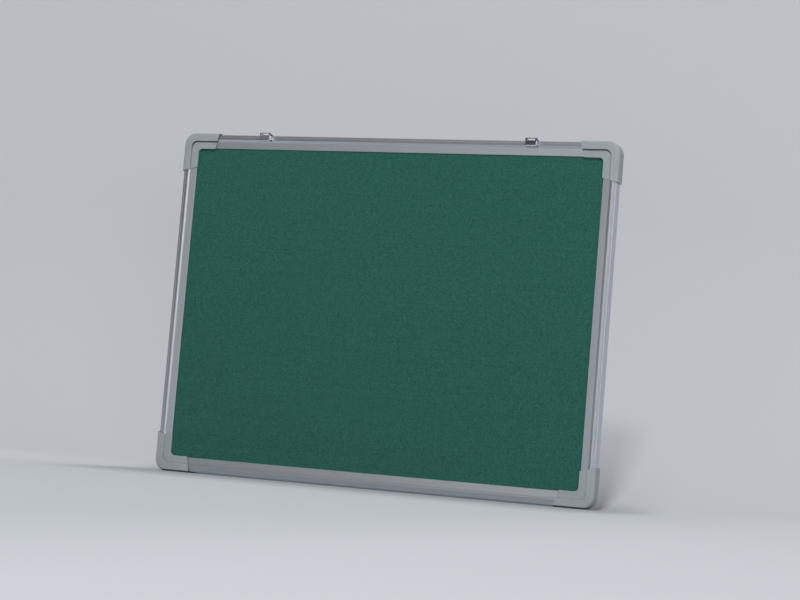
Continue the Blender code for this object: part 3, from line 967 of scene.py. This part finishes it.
def clearFromBehind(tree, shader):
    behind = node(tree, "ShaderNodeNewGeometry").outputs["Backfacing"]
    clear = node(tree, "ShaderNodeBsdfTransparent").outputs[0]
    return node(tree, "ShaderNodeMixShader", {0: behind, 1: shader, 2: clear}).outputs[0]


# painted shade: the floor is darker in line with the board and paler off to its sides; it is mostly lamp
# lit near the board, so that its shadow stays, and partly self lit further off
def makeSweepMaterial():
    spec = sweepSpec
    material, tree, shader = newMaterial("paleSweep", specular=0.0)
    shader.inputs["Roughness"].default_value = spec["rough"]
    x, y, z = node(tree, "ShaderNodeSeparateXYZ", {0: objectPlace(tree)}).outputs
    pastSide = maths(tree, "SUBTRACT", maths(tree, "ABSOLUTE", x), boardSpec["width"] / 2)
    offSide = maths(tree, "MAXIMUM", pastSide, 0.0)
    widened = maths(tree, "MULTIPLY", offSide, spec["sideScale"])
    offBoard = node(tree, "ShaderNodeCombineXYZ", {0: widened, 1: y, 2: z}).outputs[0]
    reach = vectorMaths(tree, "LENGTH", offBoard)["Value"]
    paler = remap(tree, offSide, *spec["sideReach"], 0.0, 1.0)
    floorColour = mixColour(tree, paler, spec["nearShadeColour"], spec["farColour"])
    risen = remap(tree, z, *spec["wallRise"], 0.0, 1.0)
    tree.links.new(mixColour(tree, risen, floorColour, spec["wallColour"]), shader.inputs["Base Color"])
    glowHere = remap(tree, reach, *spec["glowReach"], *spec["glowShare"])
    rays = node(tree, "ShaderNodeLightPath").outputs
    mirrored = maths(tree, "MAXIMUM", rays["Is Glossy Ray"], rays["Is Transmission Ray"])
    seen = maths(tree, "MAXIMUM", rays["Is Camera Ray"], mirrored)
    glowColour = mixColour(tree, risen, spec["floorGlow"], spec["wallGlow"])
    glow = node(tree, "ShaderNodeEmission", {"Color": glowColour}).outputs[0]
    share = maths(tree, "MULTIPLY", seen, glowHere)
    lit = node(tree, "ShaderNodeMixShader", {0: share, 1: shader.outputs[0], 2: glow}).outputs[0]
    tree.links.new(clearFromBehind(tree, lit), tree.nodes["Material Output"].inputs["Surface"])
    return material


def acrossEdges(geom):
    wide = sweepSpec["halfWidth"]
    return [edge for edge in edgesOf(geom) if abs(edge.verts[0].co.x - edge.verts[1].co.x) > wide]


def buildSweep():
    spec = sweepSpec
    bm = bmesh.new()
    ends = [bm.verts.new((side * spec["halfWidth"], spec["front"], 0)) for side in (-1, 1)]
    line = [bm.edges.new(ends)]
    floor = growEdges(bm, line, (0, spec["curveFrom"] - spec["front"], 0))
    curve = bmesh.ops.spin(
        bm, geom=acrossEdges(floor), cent=(0, spec["curveFrom"], spec["curveRadius"]), axis=(1, 0, 0),
        angle=math.pi / 2, steps=spec["curveSteps"],
    )["geom_last"]
    growEdges(bm, acrossEdges(curve), (0, 0, spec["wall"]))
    bmesh.ops.recalc_face_normals(bm, faces=bm.faces)
    bm.faces.ensure_lookup_table()
    if bm.faces[0].normal.z < 0:
        bmesh.ops.reverse_faces(bm, faces=bm.faces)
    mesh = bpy.data.meshes.new("studioSweep")
    bm.to_mesh(mesh)
    bm.free()
    mesh.shade_smooth()
    mesh.materials.append(makeSweepMaterial())
    sweep = bpy.data.objects.new("studioSweep", mesh)
    scene.collection.objects.link(sweep)


# the metal mirrors a dim room with an upper light and round patches, each with the bearing and rise of its
# middle, its outer and inner angle in degrees, and its level
backgroundSpec = {
    "colour": (0.478, 0.498, 0.528),
    "roomLight": (0.32, 0.32, 0.32),
    "plainLevel": 0.14,
    "topLevel": 0.65,
    "topRise": (0.6, 0.9),
    "patches": {
        "soft": ((-7, 9, 17, 5), 1.35),
        "bright": ((46, 29, 33, 10), 2.1),
        "far": ((-95, 5, 30, 10), 0.75),
        "dark": ((-54, 22, 32, 17), 0.05),
        "darkSpot": ((-17, 24, 9, 4), 0.05),
        "paleSpot": ((-29, 21, 6, 3), 0.22),
    },
}


def roundPatch(tree, way, patch):
    bearing, rise, outer, inner = (math.radians(value) for value in patch)
    level = math.cos(rise)
    towards = Vector((math.sin(bearing) * level, -math.cos(bearing) * level, math.sin(rise)))
    near = vectorMaths(tree, "DOT_PRODUCT", way, towards)["Value"]
    return remap(tree, near, math.cos(outer), math.cos(inner), 0.0, 1.0)


def buildWorld():
    spec = backgroundSpec
    world = bpy.data.worlds.new("paleRoom")
    scene.world = world
    world.use_nodes = True
    tree = world.node_tree
    way = node(tree, "ShaderNodeTexCoord").outputs["Generated"]
    rays = node(tree, "ShaderNodeLightPath").outputs
    rise = node(tree, "ShaderNodeSeparateXYZ", {0: way}).outputs[2]
    overhead = remap(tree, rise, *spec["topRise"], 0.0, 1.0)
    level = mixValue(tree, overhead, spec["plainLevel"], spec["topLevel"])
    for patch, patchLevel in spec["patches"].values():
        level = mixValue(tree, roundPatch(tree, way, patch), level, patchLevel)
    reflected = node(tree, "ShaderNodeCombineColor", {0: level, 1: level, 2: level}).outputs[0]
    lit = mixColour(tree, rays["Is Glossy Ray"], spec["roomLight"], reflected)
    seen = maths(tree, "MAXIMUM", rays["Is Camera Ray"], rays["Is Transmission Ray"])
    shown = mixColour(tree, seen, lit, spec["colour"])
    tree.links.new(shown, tree.nodes["Background"].inputs["Color"])


lampSpec = {
    "key": {"place": (0.7, -3.6, 4.5), "target": (0, 0, 0.2), "size": 0.6, "watts": 214},
    "fill": {"place": (1.9, -3.0, 0.5), "target": (0, 0, 0.2), "size": 1.2, "watts": 42},
}


def buildLamp(name):
    spec = lampSpec[name]
    data = bpy.data.lights.new(name, "AREA")
    data.shape = "SQUARE"
    data.size = spec["size"]
    data.energy = spec["watts"]
    lamp = bpy.data.objects.new(name, data)
    lamp.location = spec["place"]
    aim = Vector(spec["target"]) - Vector(spec["place"])
    lamp.rotation_euler = aim.to_track_quat("-Z", "Y").to_euler()
    lamp.visible_glossy = False  # the metal shows the room, not the lamps
    scene.collection.objects.link(lamp)


# the board stands upright here, so the camera takes up the lean that the photo shows
cameraSpec = {
    "place": (0.927, atDepth(boardSpec["lipFront"]) - 2.2509, 0.0531),
    "right": (0.9276, 0.3639, 0.0840),
    "up": (-0.0494, -0.1036, 0.9934),
    "forward": (-0.3702, 0.9257, 0.0781),
    "lens": 85.88,
    "sensor": 36,
    "clip": (0.05, 60),
}


def buildCamera():
    spec = cameraSpec
    data = bpy.data.cameras.new("photoCamera")
    data.sensor_width = spec["sensor"]
    data.sensor_fit = "HORIZONTAL"
    data.lens = spec["lens"]
    data.clip_start, data.clip_end = spec["clip"]
    camera = bpy.data.objects.new("photoCamera", data)
    turned = Matrix((spec["right"], spec["up"], -Vector(spec["forward"]))).transposed()
    squared = turned.to_quaternion().to_matrix().to_4x4()
    camera.matrix_world = Matrix.Translation(spec["place"]) @ squared
    scene.collection.objects.link(camera)
    scene.camera = camera


buildSweep()
buildWorld()
for lampName in lampSpec:
    buildLamp(lampName)
buildCamera()
print("stage, light and camera ready")
